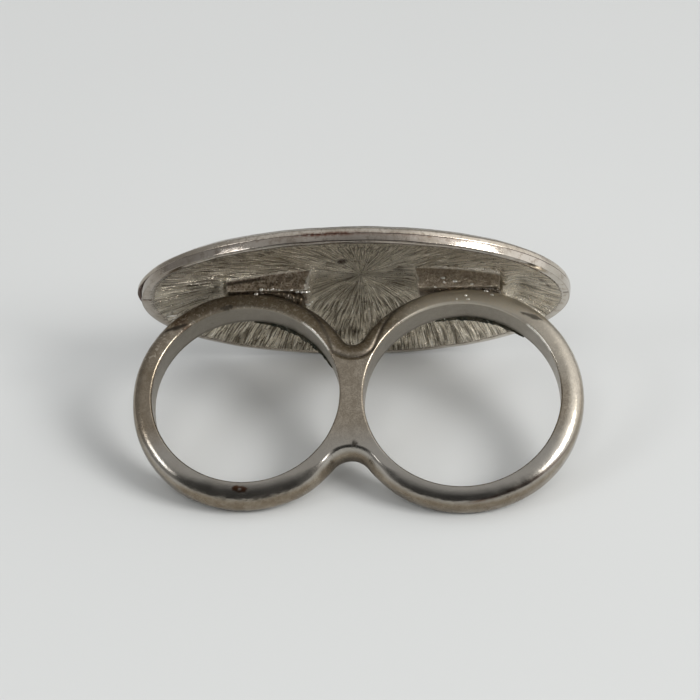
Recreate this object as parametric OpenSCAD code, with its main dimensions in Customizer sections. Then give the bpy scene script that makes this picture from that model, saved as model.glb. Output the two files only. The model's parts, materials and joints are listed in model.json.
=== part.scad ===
// Double finger ring: two finger loops side by side, joined by a web and soldered to a large oval
// plate that is hollowed at the back. It rests leaning back, on both loops and the plate's rim.
// In the ring's own axes X runs along the plate, Y from the loops to the plate, Z along the fingers.

/* [Finger holes] */
// Inner diameter of the left finger hole
left_hole_d = 18.1; // [16:0.1:19]
// Inner diameter of the right finger hole
right_hole_d = 18.9; // [16:0.1:19]
// Distance between the centres of the two holes
hole_spacing = 20.8; // [20.6:0.1:22]
// How much further from the plate the right hole's centre lies
right_drop = 0.35; // [0:0.05:0.6]

/* [Band] */
// Width of the band along the finger
band_w = 3.5; // [3:0.1:5]
// Thickness of the band at the crown of its domed outer face
band_t = 1.95; // [1.7:0.05:2.4]
// How much thicker the left loop is at the palm than at its sides
left_palm_extra = 0.3; // [0:0.05:0.4]
// How much thicker the right loop is at its outer side
right_side_extra = 0.25; // [0:0.05:0.4]
// Radius of the inner corner where the outlines of the loops meet under the plate
top_notch_r = 1.1; // [1:0.1:2.4]
// Radius of the inner corner where the outlines of the loops meet at the palm
palm_notch_r = 2; // [1:0.1:3]

/* [Back plate] */
// Length of the oval plate
plate_l = 42.2; // [40:0.2:46]
// Width of the oval plate
plate_w = 26.6; // [24:0.2:32]
// Distance from the left hole's centre to the plate's back lip
plate_rise = 10.4; // [10.2:0.1:10.8]
// Thickness of the back plate at its rim
back_edge_t = 0.7; // [0.6:0.05:1]
// Width of the flat lip round the bowl
lip_w = 1; // [0.6:0.1:1.6]
// Depth of the bowl below the lip
bowl_depth = 3; // [2:0.1:3.2]
// Metal between the middle of the bowl and the front of the back plate
back_mid_t = 1; // [0.9:0.1:1.4]
// Number of cast flutes that fan out from the middle of the bowl
flute_count = 120; // [60:4:140]
// Height of a flute near the lip
flute_h = 0.22; // [0.1:0.02:0.3]

/* [Pads] */
// Length of each pad along the plate, at its foot in the bowl
pad_l = 8.6; // [6:0.2:10]
// Width of each pad along the finger
pad_w = 3.4; // [2.6:0.1:4]
// Where the middle of the left pad lies along the plate
left_pad_x = -8.5; // [-10:0.1:-8]
// Where the middle of the right pad lies along the plate
right_pad_x = 10.2; // [8:0.1:11]
// How much narrower than its foot each end of a pad is
pad_draft = 0.4; // [0:0.05:0.6]

/* [Face plate] */
// Gap of the seam between the back plate and the face plate
seam_gap = 0.12; // [0.1:0.01:0.2]
// Thickness of the face plate at its edge
face_edge_t = 0.63; // [0.5:0.05:1]
// Thickness of the face plate in the middle of its dome
face_mid_t = 0.7; // [0.5:0.05:1.2]

/* [Hidden] */
metal_colour = [0.50, 0.48, 0.44];
face_colour = [0.58, 0.56, 0.53];
left_r = left_hole_d / 2;
right_r = right_hole_d / 2;
left_c = [-hole_spacing / 2, 0];
right_c = [hole_spacing / 2, -right_drop];
half_l = plate_l / 2;
half_w = plate_w / 2;
front_rise = bowl_depth + back_mid_t - back_edge_t;
face_base = plate_rise + back_edge_t + seam_gap;
face_rise = front_rise + face_mid_t - face_edge_t;
// Small bevel on the plates' outer edges
bevel = 0.12;
// Smoothness: sides of a round, facets across the band's dome, and rings and sides of the plates
round_fn = 128;
dome_steps = 14;
bowl_rings = 7;
front_rings = 3;
face_rings = 5;
face_sides = 96;
// Angles round the band's dome at which the web steps in, and how far each step stays below it
web_angles = [25, 45, 65, 90];
web_clear = 0.06;
// How far a loop is sunk into its pad by the solder
pad_sink = 0.2;
// Facets along the foot of a pad
pad_steps = 8;
// Metal left inside each loop for its hole to be cut from, and how far the cutter passes the band
hole_stock = 1;
bore_over = 0.5;
// How full the bowl is across its middle, and how much fuller it is towards its right end
bowl_power = 2.6;
bowl_power_x = 0.6;
// Where the outermost bowl ring lies, and where the flutes start and reach their full height
bowl_edge = 0.96;
flute_start = 0.15;
flute_full = 0.9;

// Half the band's width at a depth below the crown of its dome
function half_band(depth) = band_w / 2 * sqrt(max(0, 1 - pow((band_t - min(depth, band_t)) / band_t, 2)));

// The bowl's surface and the back plate's front, as distances from the left hole's centre
function bowl_y(rho, a) = plate_rise + bowl_depth * (1 - pow(rho, bowl_power + bowl_power_x * cos(a)));
function front_y(rho) = plate_rise + back_edge_t + front_rise * (1 - rho * rho);
function oval(rx, rz, a, y) = [rx * cos(a), y, rz * sin(a)];

// Flutes start a little way from the middle and grow to their full height near the lip
function flute(rho) = flute_h * min(1, max(0, (rho - flute_start) / (flute_full - flute_start)));

// How the ring comes to rest: its lean is where both loops and the plate's lip touch the floor
function dome_reach(b) = sqrt(pow(band_t * sin(b), 2) + pow(band_w / 2 * cos(b), 2));
function lean(b, n) =
    n == 0 ? b
    : lean(atan((half_w - dome_reach(b) / cos(b)) / (plate_rise + bevel + palm_reach)), n - 1);
left_palm = left_r + left_palm_extra;
right_palm = right_r + right_drop;
palm_reach = (left_palm + right_palm) / 2;
rest_lean = lean(30, 8);
rest_roll = atan((right_palm - left_palm) * sin(rest_lean) / hole_spacing);
loop_depth = dome_reach(rest_lean) + palm_reach * sin(rest_lean);
near_y = -right_palm * cos(rest_lean)
    - sqrt(pow(band_t * cos(rest_lean), 2) + pow(band_w / 2 * sin(rest_lean), 2));
far_y = (face_base + face_edge_t) * cos(rest_lean) + half_w * sin(rest_lean);
shift_x = (left_r - right_r - right_side_extra) / 2;

// Puts the ring down as it rests, with the middle of its footprint at the origin
module at_rest() {
    translate([shift_x, -(near_y + far_y) / 2, loop_depth])
        rotate([0, -rest_roll, 0]) rotate([rest_lean, 0, 0]) children();
}

// A closed solid through rings of points, each ring with the same number of points
module ring_solid(rings, first_tip, last_tip) {
    n = len(rings[0]);
    m = len(rings);
    points = concat([for (r = rings) each r], [first_tip, last_tip]);
    sides = [for (k = [0:m - 2], i = [0:n - 1]) let (
        j = (i + 1) % n,
        a = k * n + i,
        b = k * n + j
    ) each [[a, b, b + n], [a, b + n, a + n]]];
    first_cap = [for (i = [0:n - 1]) [n * m, (i + 1) % n, i]];
    last_cap = [for (i = [0:n - 1]) [n * m + 1, (m - 1) * n + i, (m - 1) * n + (i + 1) % n]];
    polyhedron(points, concat(sides, first_cap, last_cap));
}

module back_plate() {
    n = 2 * flute_count;
    turn = [for (i = [0:n - 1]) 360 * i / n];
    bowl = [for (k = [1:bowl_rings]) let (rho = bowl_edge * k / bowl_rings) [for (i = [0:n - 1]) let (
        stand = (i % 2) * flute(rho)
    ) oval((half_l - lip_w) * rho, (half_w - lip_w) * rho, turn[i], bowl_y(rho, turn[i]) - stand)]];
    lip = [for (s = [[lip_w, 0], [bevel, 0], [0, bevel], [0, back_edge_t]]) [for (a = turn)
        oval(half_l - s[0], half_w - s[0], a, plate_rise + s[1])]];
    front = [for (k = [front_rings:-1:1]) let (rho = k / (front_rings + 1)) [for (a = turn)
        oval(half_l * rho, half_w * rho, a, front_y(rho))]];
    ring_solid(concat(bowl, lip, front), [0, bowl_y(0, 0), 0], [0, front_y(0), 0]);
}

// One finger loop: a disc with the band's domed edge, whose hole is cut later. A second disc, moved by
// the extra, thickens it on that side
module loop_disc(c, r, extra) {
    dome = [for (i = [0:dome_steps]) let (a = -90 + 180 * i / dome_steps)
        [r + band_t * cos(a), band_w / 2 * sin(a)]];
    for (move = extra == [0, 0] ? [[0, 0]] : [[0, 0], extra]) translate(c + move)
        rotate_extrude($fn = round_fn)
            polygon(concat([[r - hole_stock, band_w / 2], [r - hole_stock, -band_w / 2]], dome));
}

// The web that joins the loops, in layers that step in as the band's dome does
module web() {
    outer_r = (left_r + right_r) / 2 + band_t;
    top_y = sqrt(pow(outer_r + top_notch_r, 2) - pow(hole_spacing / 2, 2)) - right_drop / 2;
    palm_y = -sqrt(pow(outer_r + palm_notch_r, 2) - pow(hole_spacing / 2, 2))
        - (right_drop + left_palm_extra) / 2;
    for (a = web_angles) {
        depth = band_t * (1 - cos(a));
        linear_extrude(height = 2 * half_band(depth), center = true) difference() {
            polygon([left_c, [0, top_y], right_c, [0, palm_y]]);
            translate([0, top_y]) circle(r = top_notch_r + depth + web_clear, $fn = round_fn);
            translate([0, palm_y]) circle(r = palm_notch_r + depth + web_clear, $fn = round_fn);
        }
    }
}

// A pad cast on the bowl, whose drafted ends lean in towards the loop that is soldered to it
module pad(x, apex) {
    low = apex - pad_sink;
    end = pad_l / 2 - pad_draft;
    foot = [for (i = [pad_steps:-1:0]) let (px = x + pad_l * (i / pad_steps - 0.5))
        [px, (bowl_y(abs(px) / (half_l - lip_w), px < 0 ? 180 : 0) + front_y(abs(px) / half_l)) / 2]];
    linear_extrude(height = pad_w, center = true) polygon(concat([[x - end, low], [x + end, low]], foot));
}

module finger_hole(c, r) {
    translate([c[0], c[1], 0]) cylinder(r = r, h = band_w + bore_over, center = true, $fn = round_fn);
}

module ring_body() {
    color(metal_colour) at_rest() difference() {
        union() {
            back_plate();
            pad(left_pad_x, left_r + band_t);
            pad(right_pad_x, right_r + band_t - right_drop);
            loop_disc(left_c, left_r, [0, -left_palm_extra]);
            loop_disc(right_c, right_r, [right_side_extra, 0]);
            web();
        }
        finger_hole(left_c, left_r);
        finger_hole(right_c, right_r);
    }
}

module face_plate() {
    turn = [for (i = [0:face_sides - 1]) 360 * i / face_sides];
    crown_y = face_base + face_edge_t + face_rise;
    under = [for (k = [1:face_rings - 1]) let (rho = k / face_rings) [for (a = turn)
        oval(half_l * rho, half_w * rho, a, front_y(rho) + seam_gap)]];
    edge = [for (s = [[0, 0], [0, face_edge_t - bevel], [bevel, face_edge_t]]) [for (a = turn)
        oval(half_l - s[0], half_w - s[0], a, face_base + s[1])]];
    top = [for (k = [face_rings - 1:-1:1]) let (rho = k / face_rings) [for (a = turn)
        oval(half_l * rho, half_w * rho, a, crown_y - face_rise * rho * rho)]];
    color(face_colour) at_rest()
        ring_solid(concat(under, edge, top), [0, front_y(0) + seam_gap, 0], [0, crown_y, 0]);
}

ring_body();
face_plate();
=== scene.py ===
"""A two-finger ring in grey cast metal, seen from behind: two loops, a web, and a hollow-backed oval plate.

Its shapes are worked out in millimetres in the ring's own axes: x runs along the plate, u from the loops to
the plate, and n along a finger. A turn is a share of the way round the plate's outline, from 0 to 1.
"""
import functools
import itertools
import json
import math

import bpy
import numpy as np
from mathutils import Matrix


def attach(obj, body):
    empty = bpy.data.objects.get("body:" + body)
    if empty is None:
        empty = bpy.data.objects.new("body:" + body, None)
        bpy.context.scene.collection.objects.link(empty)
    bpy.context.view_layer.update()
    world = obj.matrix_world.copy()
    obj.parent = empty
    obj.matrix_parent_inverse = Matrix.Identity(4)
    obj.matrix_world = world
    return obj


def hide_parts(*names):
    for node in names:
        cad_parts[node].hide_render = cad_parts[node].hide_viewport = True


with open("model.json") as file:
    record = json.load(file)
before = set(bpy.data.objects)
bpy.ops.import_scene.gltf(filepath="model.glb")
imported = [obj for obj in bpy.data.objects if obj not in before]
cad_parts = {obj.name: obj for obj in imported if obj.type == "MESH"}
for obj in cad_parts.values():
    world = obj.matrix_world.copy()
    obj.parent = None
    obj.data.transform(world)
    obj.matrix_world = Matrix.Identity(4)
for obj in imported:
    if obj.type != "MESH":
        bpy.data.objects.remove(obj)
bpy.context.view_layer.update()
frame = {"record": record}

# Metres in a millimetre
MM = 0.001

# Sizes, the same as in the part's source
HOLE_SPACING = 20.8
RIGHT_DROP = 0.35
LEFT_R = 9.05
RIGHT_R = 9.45
BAND_W = 3.5
BAND_T = 1.95
PALM_EXTRA = 0.3
SIDE_EXTRA = 0.25
TOP_NOTCH_R = 1.1
PALM_NOTCH_R = 2.0
HALF_L = 21.1
HALF_W = 13.3
PLATE_RISE = 10.4
BACK_EDGE_T = 0.7
LIP_W = 1.0
BOWL_DEPTH = 3.0
BACK_MID_T = 1.0
SEAM_GAP = 0.12
FACE_EDGE_T = 0.63
FACE_MID_T = 0.7
PAD_L = 8.6
PAD_W = 3.4
PAD_DRAFT = 0.4
PAD_SINK = 0.2
LEFT_PAD_X = -8.5
RIGHT_PAD_X = 10.2
FRONT_RISE = BOWL_DEPTH + BACK_MID_T - BACK_EDGE_T
FACE_TOP = PLATE_RISE + BACK_EDGE_T + SEAM_GAP + FACE_EDGE_T
FACE_RISE = FRONT_RISE + FACE_MID_T - FACE_EDGE_T
LEFT_OUT_R = LEFT_R + BAND_T
RIGHT_OUT_R = RIGHT_R + BAND_T


def unit(v):
    v = np.asarray(v, float)
    return v / np.linalg.norm(v)


# The ring's own axes, taken from its two finger holes
mounts = {m["name"]: m for m in frame["record"]["mounts"]}
left_pos = np.array(mounts["left_finger_hole"]["pos_m"]) / MM
right_pos = np.array(mounts["right_finger_hole"]["pos_m"]) / MM
N_AXIS = unit(mounts["left_finger_hole"]["axis"])
drop_angle = math.atan2(RIGHT_DROP, HOLE_SPACING)
hole_way = unit(right_pos - left_pos)
X_AXIS = math.cos(drop_angle) * hole_way + math.sin(drop_angle) * np.cross(N_AXIS, hole_way)
AXES = np.stack([X_AXIS, np.cross(N_AXIS, X_AXIS), N_AXIS])
ORIGIN = left_pos + HOLE_SPACING / 2 * X_AXIS


def place(points):
    """Points in the ring's own axes, in millimetres, to the frame's metres."""
    return (ORIGIN + np.asarray(points, float) @ AXES) * MM


# Curves and seeded noise
def smooth(lo, hi, v):
    """Rises from 0 at lo to 1 at hi, or falls where hi is the lower one."""
    t = np.clip((v - lo) / (hi - lo), 0, 1)
    return t * t * (3 - 2 * t)


def within(v, start, full, last, end):
    """Rises from 0 at start to 1 at full, and falls from 1 at last to 0 at end."""
    return smooth(start, full, v) * smooth(end, last, v)


def bell(v, middle, wide):
    return np.exp(-((v - middle) / wide) ** 2)


def strongest(*values):
    return functools.reduce(np.maximum, values)


def hashed(cell, seed):
    """A number from 0 to 1 for each cell of a lattice."""
    ix, iy, iz = np.moveaxis(cell, -1, 0).astype(np.uint32)
    h = (ix * np.uint32(374761393) + iy * np.uint32(668265263) + iz * np.uint32(2246822519)
         + np.uint32(seed * 7919 + 101))
    h = (h ^ (h >> np.uint32(13))) * np.uint32(1274126177)
    h = (h ^ (h >> np.uint32(16))) * np.uint32(2654435761)
    return (h ^ (h >> np.uint32(15))).astype(float) / 4294967295.0


def noise3(p, seed, wrap=None):
    """Smooth noise from -1 to 1 at points with three coordinates. The first one can wrap round."""
    low = np.floor(p).astype(np.int64)
    f = p - low
    f = f * f * (3 - 2 * f)
    total = 0
    for corner in itertools.product((0, 1), repeat=3):
        w = np.prod([f[..., k] if step else 1 - f[..., k] for k, step in enumerate(corner)], axis=0)
        cell = low + corner
        if wrap:
            cell[..., 0] %= wrap
        total = total + w * hashed(cell, seed)
    return 2 * total - 1


def ring_noise(turn, across, count, seed):
    """Smooth noise from -1 to 1 that repeats once round, with count cells in a full turn."""
    return noise3(np.stack([turn * count, across + 0 * turn, 0 * turn], -1), seed, count)


# Meshes
def weld(points, faces):
    """Joins points that lie in one place, and drops corners that a face has twice."""
    _, first, back = np.unique(np.round(points, 4), axis=0, return_index=True, return_inverse=True)
    back = back.reshape(-1)
    out = []
    for f in faces:
        g = []
        for i in back[list(f)]:
            if not g or g[-1] != i:
                g.append(int(i))
        if len(g) > 1 and g[0] == g[-1]:
            g.pop()
        if len(g) > 2:
            out.append(g)
    return points[first], out, first


def point_normals(points, faces):
    total = np.zeros_like(points)
    for n in (3, 4):
        f = np.array([g for g in faces if len(g) == n], int)
        if not len(f):
            continue
        p = points[f]
        across = np.cross(p[:, 2] - p[:, 0], p[:, -1] - p[:, 1])
        for k in range(n):
            np.add.at(total, f[:, k], across)
    return total / np.maximum(np.linalg.norm(total, axis=1, keepdims=True), 1e-12)


def grid_faces(rows, columns, start=0, closed=True):
    """Faces between rows of points. Each row goes once round when closed."""
    i = np.arange(columns if closed else columns - 1)
    j = (i + 1) % columns
    out = []
    for k in range(rows - 1):
        a = start + k * columns
        out += np.stack([a + i, a + j, a + columns + j, a + columns + i], 1).tolist()
    return out


def add_object(name, data):
    """Puts a mesh, light or camera into the scene."""
    thing = bpy.data.objects.new(name, data)
    bpy.context.scene.collection.objects.link(thing)
    return thing


def add_piece(name, points, faces, material, marks, sharp, node="ring_body"):
    """Makes a piece, with a value at each point for each mark, and sharp edges above an angle in degrees."""
    mesh = bpy.data.meshes.new(name)
    mesh.from_pydata(place(points).tolist(), [], faces)
    for mark, values in marks.items():
        layer = mesh.attributes.new(mark, "FLOAT", "POINT")
        layer.data.foreach_set("value", np.asarray(values, np.float32))
    mesh.shade_smooth()
    mesh.set_sharp_from_angle(angle=math.radians(sharp))
    mesh.materials.append(material)
    mesh.update()
    piece = add_object(name, mesh)
    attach(piece, "root")
    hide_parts(node)


# Materials
class Nodes:
    """Short names for making and joining the nodes of one tree."""

    def __init__(self, tree):
        self.tree = tree

    def link(self, value, socket):
        """Joins another node's output to a socket, or sets a number or a tuple on the socket itself."""
        if isinstance(value, (int, float)):
            socket.default_value = value
        elif isinstance(value, tuple):
            socket.default_value = value if socket.type == "VECTOR" else (*value, 1)
        else:
            self.tree.links.new(value, socket)

    def node(self, kind, sockets, output=0, **settings):
        """Makes a node, gives its sockets and settings their values, and returns one output."""
        node = self.tree.nodes.new(kind)
        for key, value in settings.items():
            setattr(node, key, value)
        for socket, value in sockets.items():
            self.link(value, node.inputs[socket])
        return node.outputs[output]

    def math(self, operation, a, b):
        return self.node("ShaderNodeMath", {0: a, 1: b}, operation=operation)

    def plus(self, *values):
        return functools.reduce(lambda a, b: self.math("ADD", a, b), values)

    def times(self, a, b):
        return self.math("MULTIPLY", a, b)

    def between(self, amount, a, b):
        return self.node("ShaderNodeMix", {0: amount, 2: a, 3: b}, data_type="FLOAT")

    def layers(self, color, *coats):
        """A colour with coats over it, each given by how much it covers and its own colour."""
        for amount, coat in coats:
            color = self.node("ShaderNodeMix", {0: amount, 6: color, 7: coat}, 2, data_type="RGBA")
        return color

    def ramp(self, value, lo, hi, out_lo=0.0, out_hi=1.0):
        sockets = {"Value": value, "From Min": lo, "From Max": hi, "To Min": out_lo, "To Max": out_hi}
        return self.node("ShaderNodeMapRange", sockets, interpolation_type="SMOOTHSTEP")

    def vector(self, x, y, z=0.0):
        return self.node("ShaderNodeCombineXYZ", {0: x, 1: y, 2: z})


class Surface(Nodes):
    """The nodes of one material."""

    def __init__(self, name):
        self.material = bpy.data.materials.new(name)
        self.material.use_nodes = True
        super().__init__(self.material.node_tree)
        self.shader = self.tree.nodes["Principled BSDF"]
        self.place = self.node("ShaderNodeTexCoord", {}, "Object")

    def noise(self, scale, detail, rough=0.6, vector=None):
        sockets = {"Vector": vector or self.place, "Scale": scale, "Detail": detail, "Roughness": rough}
        return self.node("ShaderNodeTexNoise", sockets, "Fac")

    def mark(self, name):
        return self.node("ShaderNodeAttribute", {}, "Fac", attribute_name=name)

    def bump(self, height, strength, distance):
        return self.node("ShaderNodeBump", {"Strength": strength, "Distance": distance, "Height": height})

    def finish(self, color, roughness, normal, metallic=1.0):
        for name, value in (("Base Color", color), ("Roughness", roughness), ("Normal", normal),
                            ("Metallic", metallic)):
            self.link(value, self.shader.inputs[name])
        return self.material


def shank_material():
    """Smooth grey cast metal: browned near the plate, brushed inside the holes, with a few pits, painted shade in
    its creases, corners and underside, and painted light on the right loop and the holes' edges.
    """
    m = Surface("worn_cast_metal")
    inside, soot_and_shade, tarnish_and_shade, dull, tin_and_highlight = (m.mark(name) for name in ("inside", "soot_and_shade", "tarnish_and_shade", "dull", "tin_and_highlight"))
    along_hole = m.vector(m.times(m.mark("around"), 0.35), m.times(m.mark("across"), 9.0))
    brushed = m.noise(1.6, 4, vector=along_hole)
    cloudy, patchy, fine, grain = m.noise(170, 5), m.noise(620, 4), m.noise(1500, 4), m.noise(7000, 3)
    brown = m.times(tarnish_and_shade, m.ramp(patchy, 0.3, 0.65, 0.45, 1.0))
    flecks = m.times(dull, m.ramp(m.noise(3200, 2), 0.56, 0.64))
    pits = m.times(m.ramp(fine, 0.68, 0.76), 0.5)
    # The tarnish, soot, pale and tin coats also hold painted shade and painted light.
    color = m.layers(
        (0.432, 0.378, 0.303),
        (m.ramp(cloudy, 0.42, 0.68), (0.365, 0.316, 0.248)),
        (m.ramp(fine, 0.36, 0.62, 0.38, 0.0), (0.20, 0.162, 0.115)),
        (m.ramp(grain, 0.40, 0.56, 0.42, 0.0), (0.16, 0.13, 0.098)),
        (m.mark("bare"), (0.42, 0.402, 0.368)),
        (m.mark("pale"), (0.66, 0.615, 0.53)),
        (brown, (0.185, 0.145, 0.10)),
        (m.times(m.mark("rust"), 0.95), (0.105, 0.042, 0.016)),
        (m.times(inside, 0.6), (0.385, 0.355, 0.305)),
        (flecks, (0.62, 0.56, 0.46)),
        (pits, (0.14, 0.11, 0.085)),
        (m.times(soot_and_shade, 0.9), (0.045, 0.038, 0.03)),
        (tin_and_highlight, (1.0, 0.97, 0.91)))
    rough = m.plus(m.ramp(patchy, 0.3, 0.7, 0.15, 0.23), m.times(soot_and_shade, 0.25), m.times(tin_and_highlight, 0.2),
                   m.times(inside, 0.14), m.times(brown, 0.10), m.times(dull, 0.22))
    height = m.plus(m.times(fine, m.between(tarnish_and_shade, 0.5, 1.8)), m.times(grain, 0.3),
                    m.times(brushed, m.times(inside, 0.9)))
    return m.finish(color, rough, m.bump(height, 0.25, 0.00008))


def bowl_material():
    """The plate's cast back: fine strands fan out from the middle, between a bright flat lip and the rim. Shade
    is painted in its grooves and between its strands, and light on its strands, its right end and its rim.
    """
    m = Surface("fluted_cast_metal")
    lip, pale, glint, across = (m.mark(name) for name in ("lip", "pale", "glint", "across"))

    def strands(name, spread, stretch):
        x, y = (m.times(m.mark(name + axis), spread) for axis in ("_x", "_y"))
        return m.noise(1.0, 1, 0.5, m.vector(x, y, m.times(across, stretch)))

    # From the middle outwards, more and finer strands
    hair = m.between(m.ramp(across, 0.10, 0.24), strands("star", 22, 5), strands("star", 52, 6))
    hair = m.between(m.ramp(across, 0.24, 0.48), hair, strands("hair", 70, 6))
    hair = m.between(m.ramp(across, 0.5, 0.75), hair, strands("hair", 105, 7))
    cloudy, fine, mottled = m.noise(300, 4), m.noise(2600, 4, 0.65), m.noise(1500, 4, 0.65)
    # The pale coat is painted light on the rim, the bowl's right end and the ridges round the pads.
    rim = m.layers(
        (0.53, 0.48, 0.42),
        (m.ramp(cloudy, 0.42, 0.68), (0.40, 0.352, 0.29)),
        (pale, (0.64, 0.595, 0.53)),
        (m.ramp(mottled, 0.5, 0.66, 0.0, 0.45), (0.24, 0.185, 0.135)))
    color = m.layers(
        (0.84, 0.765, 0.625),
        (m.ramp(cloudy, 0.4, 0.66), (0.68, 0.605, 0.48)),
        (pale, (0.97, 0.89, 0.75)),
        # Painted shade in the grooves, the pits and the lip's inner corner.
        (m.times(m.mark("groove"), 0.7), (0.15, 0.122, 0.085)),
        # Painted shade between the strands and painted glints on them.
        (m.times(m.ramp(hair, 0.52, 0.38, 0.0, 0.85), m.between(pale, 1.0, 0.6)), (0.125, 0.103, 0.073)),
        (m.ramp(hair, 0.56, 0.70, 0.0, 0.8), (0.95, 0.89, 0.79)),
        (m.ramp(fine, 0.6, 0.72, 0.0, 0.5), (0.14, 0.115, 0.085)),
        (lip, rim),
        (m.times(m.mark("rust"), m.ramp(fine, 0.3, 0.55)), (0.16, 0.055, 0.03)),
        (m.times(m.mark("seam"), 0.9), (0.06, 0.036, 0.028)),
        # Painted glints on the tall flutes by the lip.
        (glint, (1.0, 0.98, 0.93)))
    rough = m.between(lip, m.ramp(fine, 0.3, 0.7, 0.24, 0.38), m.ramp(fine, 0.3, 0.7, 0.08, 0.16))
    height = m.plus(m.times(hair, m.math("SUBTRACT", 1.0, lip)), m.times(fine, m.between(lip, 0.3, 0.014)))
    return m.finish(color, rough, m.bump(height, 0.85, 0.0007), m.between(glint, 1.0, 0.1))


def pad_material():
    """The pads' rough cast faces, grainy and dark, with bright crumbs, worn ends, painted highlights and painted
    shade.
    """
    m = Surface("grainy_cast_metal")
    grain, coarse, edge = m.noise(5200, 4, 0.7), m.noise(1700, 3), m.mark("edge")
    color = m.layers(
        (0.47, 0.395, 0.31),
        (m.ramp(coarse, 0.40, 0.62), (0.25, 0.20, 0.152)),
        (m.ramp(grain, 0.48, 0.38, 0.0, 0.85), (0.09, 0.07, 0.052)),
        (m.ramp(grain, 0.60, 0.66), (0.80, 0.74, 0.64)),
        (m.mark("pale"), (0.62, 0.535, 0.43)),
        (edge, (0.80, 0.735, 0.63)),
        (m.mark("shade"), (0.05, 0.04, 0.03)),
        (m.mark("tin_and_highlight"), (1.0, 0.97, 0.9)))
    rough = m.between(edge, m.ramp(grain, 0.3, 0.7, 0.32, 0.5), 0.24)
    return m.finish(color, rough, m.bump(m.plus(grain, coarse), 0.7, 0.0002))


def solder_material():
    """Solder: bright where it beaded, brown where flux burned on it, which also paints the shade in the joints.
    """
    m = Surface("solder")
    fine = m.noise(4000, 3)
    burned_and_shade = m.times(m.mark("burned_and_shade"), m.ramp(m.noise(1300, 3), 0.35, 0.5, 0.88, 1.0))
    color = m.layers((0.94, 0.92, 0.87), (burned_and_shade, (0.13, 0.104, 0.074)))
    rough = m.between(burned_and_shade, 0.28, m.ramp(fine, 0.3, 0.7, 0.26, 0.4))
    return m.finish(color, rough, m.bump(fine, 0.4, 0.00008))


def residue_and_shadow_material():
    """Burned flux: a black-green crust with small bright grains in it, near-black also as painted shadow."""
    m = Surface("burned_residue_and_shadow")
    grain = m.noise(6500, 2)
    shine = m.ramp(grain, 0.64, 0.70)
    color = m.layers(
        (0.014, 0.017, 0.011),
        (m.ramp(m.noise(1500, 3), 0.4, 0.6), (0.045, 0.040, 0.026)),
        (shine, (0.50, 0.52, 0.46)))
    m.link(0.12, m.shader.inputs["Specular IOR Level"])
    return m.finish(color, m.between(shine, 0.6, 0.2), m.bump(grain, 0.7, 0.0001), shine)


def face_material():
    """The front plate: the same grey metal, brushed on its dome, soiled and a little brown at its edge."""
    m = Surface("satin_face_metal")
    cloudy, fine = m.noise(240, 4), m.noise(2600, 4, 0.65)
    stretched = m.node("ShaderNodeMapping", {"Vector": m.place, "Scale": (0.25, 4.0, 4.0)})
    streak = m.noise(900, 4, vector=stretched)
    soiled = m.between(m.mark("dome"), 1.0, 0.25)
    color = m.layers(
        (0.62, 0.565, 0.49),
        (m.times(m.ramp(cloudy, 0.42, 0.68), soiled), (0.50, 0.445, 0.37)),
        (m.times(m.ramp(fine, 0.46, 0.74, 0.0, 0.5), soiled), (0.25, 0.21, 0.165)),
        (m.times(m.mark("brown"), m.ramp(fine, 0.3, 0.6, 1.0, 0.7)), (0.22, 0.18, 0.135)),
        (m.times(m.mark("rust"), m.ramp(fine, 0.3, 0.55)), (0.15, 0.055, 0.03)),
        (m.times(m.mark("seam"), 0.85), (0.07, 0.042, 0.032)))
    normal = m.bump(m.plus(m.times(fine, 0.5), streak), 0.10, 0.00005)
    return m.finish(color, m.ramp(streak, 0.3, 0.7, 0.17, 0.28), normal)


def paper_material():
    m = Surface("pale_paper")
    color = m.layers((0.632, 0.643, 0.639), (m.ramp(m.noise(9, 2, 0.5), 0.3, 0.7), (0.618, 0.63, 0.625)))
    return m.finish(color, 0.85, m.bump(m.noise(1500, 3), 0.05, 0.0001), 0.0)


# The double shank: two loops with a domed band, and the web between them
LEFT_C = np.array([-HOLE_SPACING / 2, 0.0])
RIGHT_C = np.array([HOLE_SPACING / 2, -RIGHT_DROP])
LEFT_EXTRA = np.array([0, -PALM_EXTRA])
RIGHT_EXTRA = np.array([SIDE_EXTRA, 0])
# How full the band's dome is, where 2 makes an ellipse: in general, and at the palm of each loop
FULL_POWER = 3.0
LEFT_PALM_POWER = 2.0
RIGHT_PALM_POWER = 2.5
# The sharp edge at the web's palm end: how far in it lies, and how full the slope below it is
ARRIS_T = 1.0
ARRIS_POWER = 1.55
CREASE_DEPTH = 0.11
HOLE_BEVEL = 0.24


def tangent_centre(left, r, side):
    """The centre of a circle of radius r that touches both loops from outside."""
    a, b = LEFT_OUT_R + r, RIGHT_OUT_R + r
    line = RIGHT_C - left
    gap = np.linalg.norm(line)
    reach = (a * a - b * b + gap * gap) / (2 * gap)
    rise = math.sqrt(a * a - reach * reach)
    line = line / gap
    return left + reach * line + side * rise * np.array([-line[1], line[0]])


TOP_NOTCH = tangent_centre(LEFT_C, TOP_NOTCH_R, 1)
PALM_NOTCH = tangent_centre(LEFT_C + LEFT_EXTRA, PALM_NOTCH_R, -1)
SEAM_WAY = unit(PALM_NOTCH - TOP_NOTCH)
SEAM_TOP = TOP_NOTCH + TOP_NOTCH_R * SEAM_WAY
SEAM_PALM = PALM_NOTCH - PALM_NOTCH_R * SEAM_WAY


def crease(x, u, s):
    """A shallow line in the casting that runs along the inner corner of the outlines, under the plate."""
    line_at = 1.7 - 1.45 * smooth(3.5, 10.0, u)
    return bell(s, line_at, 0.17) * smooth(2.9, 3.6, u) * smooth(8.0, 5.5, np.abs(x))


def off_way(v, way):
    """The angle between plane vectors and one direction."""
    return np.arccos(np.clip(v @ way / np.maximum(np.linalg.norm(v, axis=-1), 1e-9), -1, 1))


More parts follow.
